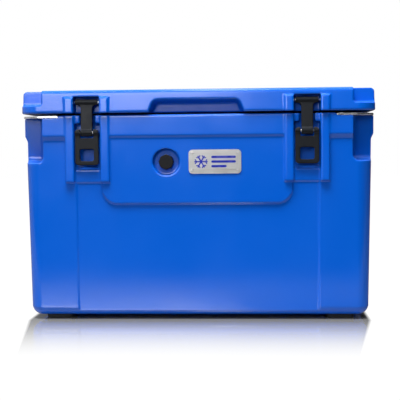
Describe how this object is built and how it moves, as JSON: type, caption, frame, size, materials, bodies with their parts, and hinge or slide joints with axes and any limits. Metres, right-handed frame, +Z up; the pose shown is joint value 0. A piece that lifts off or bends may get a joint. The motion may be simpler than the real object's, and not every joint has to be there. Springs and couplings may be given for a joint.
{
  "type": "cooler chest",
  "caption": "Insulated rotomoulded cooler chest with a hinged lid, two draw latches, padlock corners, a vent knob, a drain plug and rubber feet.",
  "frame": {"origin": "on the ground under the middle of the chest, at the bottom of the feet", "axes": "+Z up, front with the latches towards -Y, +X along the length towards the drain end"},
  "size_m": [0.6998, 0.428, 0.455],
  "materials": {
    "blue_shell": "glossy rotomoulded polyethylene, deep blue",
    "foam": "sealed rigid insulating foam, pale cream",
    "seal_rubber": "soft black gasket rubber",
    "latch_plastic": "fine-textured near-black moulded plastic",
    "stainless": "turned stainless steel",
    "screw_steel": "stainless screw steel",
    "lock_steel": "brushed stainless sheet",
    "foot_rubber": "black non-slip rubber",
    "badge_metal": "brushed aluminium plate",
    "emblem_enamel": "dark blue enamel",
    "rivet_metal": "satin aluminium rivets",
    "cap_plastic": "black nylon",
    "fitting_plastic": "black moulded nylon"
  },
  "bodies": {
    "tub": {"badge_emblem": "emblem_enamel", "badge_plate": "badge_metal", "badge_rivets": "rivet_metal", "drain_bushing": "fitting_plastic", "drain_nut": "fitting_plastic", "foot_front_left": "foot_rubber", "foot_front_right": "foot_rubber", "foot_rear_left": "foot_rubber", "foot_rear_right": "foot_rubber", "foot_screws": "screw_steel", "hinge_caps_left": "cap_plastic", "hinge_caps_right": "cap_plastic", "hinge_rod_left": "stainless", "hinge_rod_right": "stainless", "lock_plate_left": "lock_steel", "lock_plate_right": "lock_steel", "lock_plate_screws_left": "screw_steel", "lock_plate_screws_right": "screw_steel", "tub_foam": "foam", "tub_shell": "blue_shell", "vent_bushing": "fitting_plastic", "vent_nut": "fitting_plastic"},
    "lid": {"lid_shell": "blue_shell", "lid_foam": "foam", "lid_gasket": "seal_rubber", "latch_lid_pin_left": "stainless", "latch_lid_pin_right": "stainless"},
    "latch_link_left": {"latch_link_left": "latch_plastic", "latch_lever_pin_left": "stainless"},
    "latch_link_right": {"latch_link_right": "latch_plastic", "latch_lever_pin_right": "stainless"},
    "latch_lever_left": {"latch_lever_left": "latch_plastic"},
    "latch_lever_right": {"latch_lever_right": "latch_plastic"},
    "vent_seal": {"vent_seal": "seal_rubber"},
    "vent_knob": {"vent_knob": "fitting_plastic"},
    "drain_seal": {"drain_seal": "seal_rubber"},
    "drain_plug": {"drain_plug": "fitting_plastic"}
  },
  "joints": [
    {"name": "lid_hinge", "type": "hinge", "parent": "tub", "child": "lid", "pos_m": [0, 0.207, 0.408], "axis": [-1, 0, 0], "range_deg": [0, 100]},
    {"name": "latch_swing_left", "type": "hinge", "parent": "lid", "child": "latch_link_left", "pos_m": [-0.2155, -0.202, 0.4317], "axis": [-1, 0, 0], "range_deg": [-7, 105]},
    {"name": "lever_swing_left", "type": "hinge", "parent": "latch_link_left", "child": "latch_lever_left", "pos_m": [-0.2155, -0.2055, 0.372], "axis": [-1, 0, 0], "range_deg": [0, 120]},
    {"name": "latch_swing_right", "type": "hinge", "parent": "lid", "child": "latch_link_right", "pos_m": [0.2155, -0.202, 0.4317], "axis": [-1, 0, 0], "range_deg": [-7, 105]},
    {"name": "lever_swing_right", "type": "hinge", "parent": "latch_link_right", "child": "latch_lever_right", "pos_m": [0.2155, -0.2055, 0.372], "axis": [-1, 0, 0], "range_deg": [0, 120]},
    {"name": "vent_travel", "type": "slide", "parent": "tub", "child": "vent_seal", "axis": [0, -1, 0], "range_m": [0, 0.003]},
    {"name": "vent_turn", "type": "hinge", "parent": "vent_seal", "child": "vent_knob", "pos_m": [-0.0603, -0.19, 0.313], "axis": [0, -1, 0], "range_deg": [0, 720]},
    {"name": "drain_travel", "type": "slide", "parent": "tub", "child": "drain_seal", "axis": [1, 0, 0], "range_m": [0, 0.012]},
    {"name": "drain_turn", "type": "hinge", "parent": "drain_seal", "child": "drain_plug", "pos_m": [0.33, 0, 0.0715], "axis": [1, 0, 0], "range_deg": [0, 1440]}
  ],
  "couplings": [
    {"joint": "vent_travel", "follows": "vent_turn", "m_per_rad": 0.00023873},
    {"joint": "drain_travel", "follows": "drain_turn", "m_per_rad": 0.00047746}
  ]
}
